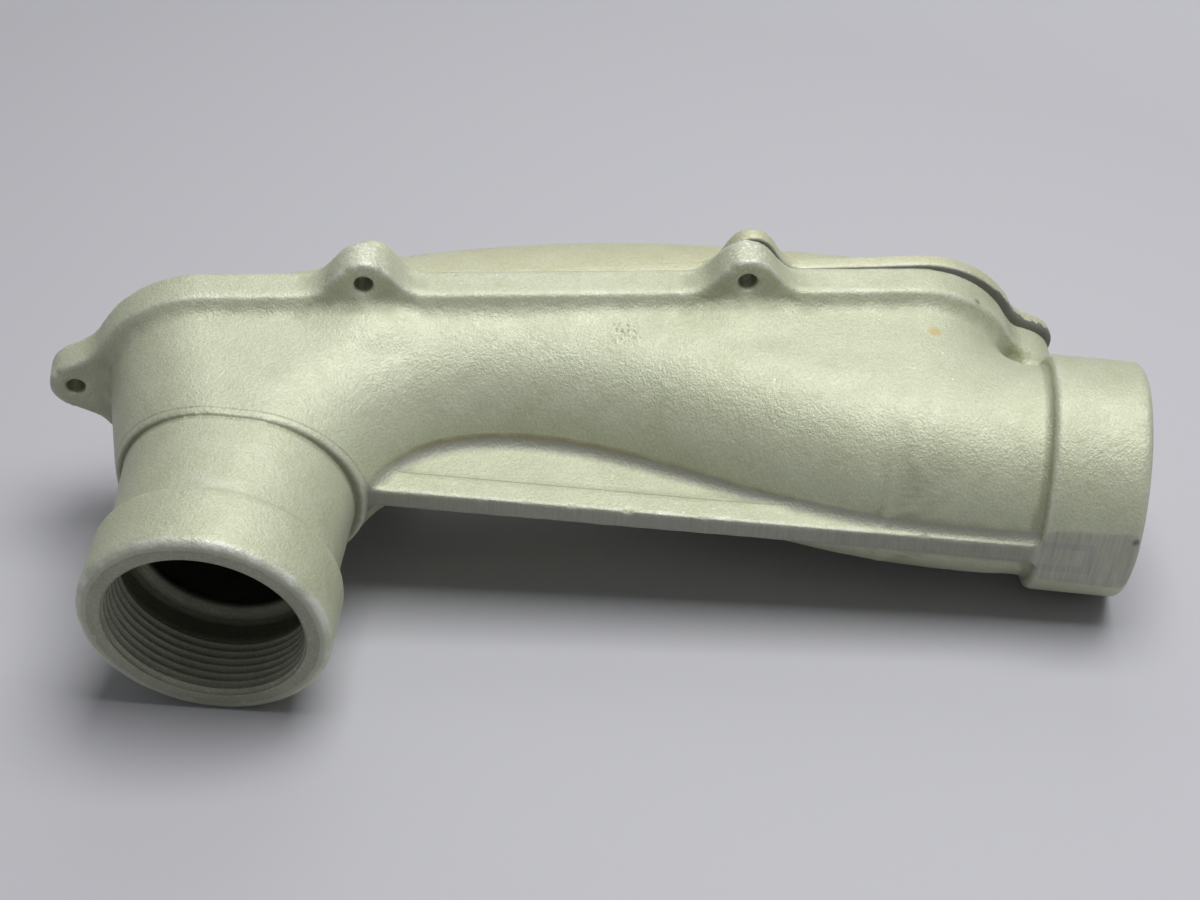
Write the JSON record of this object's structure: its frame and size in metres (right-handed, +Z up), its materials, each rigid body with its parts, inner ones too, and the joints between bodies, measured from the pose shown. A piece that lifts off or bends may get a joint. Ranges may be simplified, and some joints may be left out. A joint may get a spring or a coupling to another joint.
{
  "type": "conduit body",
  "caption": "Cast elbow conduit body with threaded collars, a slanted lugged opening, a stiffening web under the bend and a domed cover resting loosely on its flange.",
  "frame": {"origin": "centre of the back hub's mouth, on its thread axis", "axes": "+Z up as the part rests on a floor; +X is level, along the long side from the back hub's side to the end hub; +Y points from the back hub's mouth towards the cover"},
  "size_m": [0.3978, 0.2044, 0.1214],
  "materials": {
    "body": "semi-gloss",
    "cover": "semi-gloss"
  },
  "bodies": {
    "root": {"conduit_body": "body", "cover": "cover"}
  },
  "joints": []
}
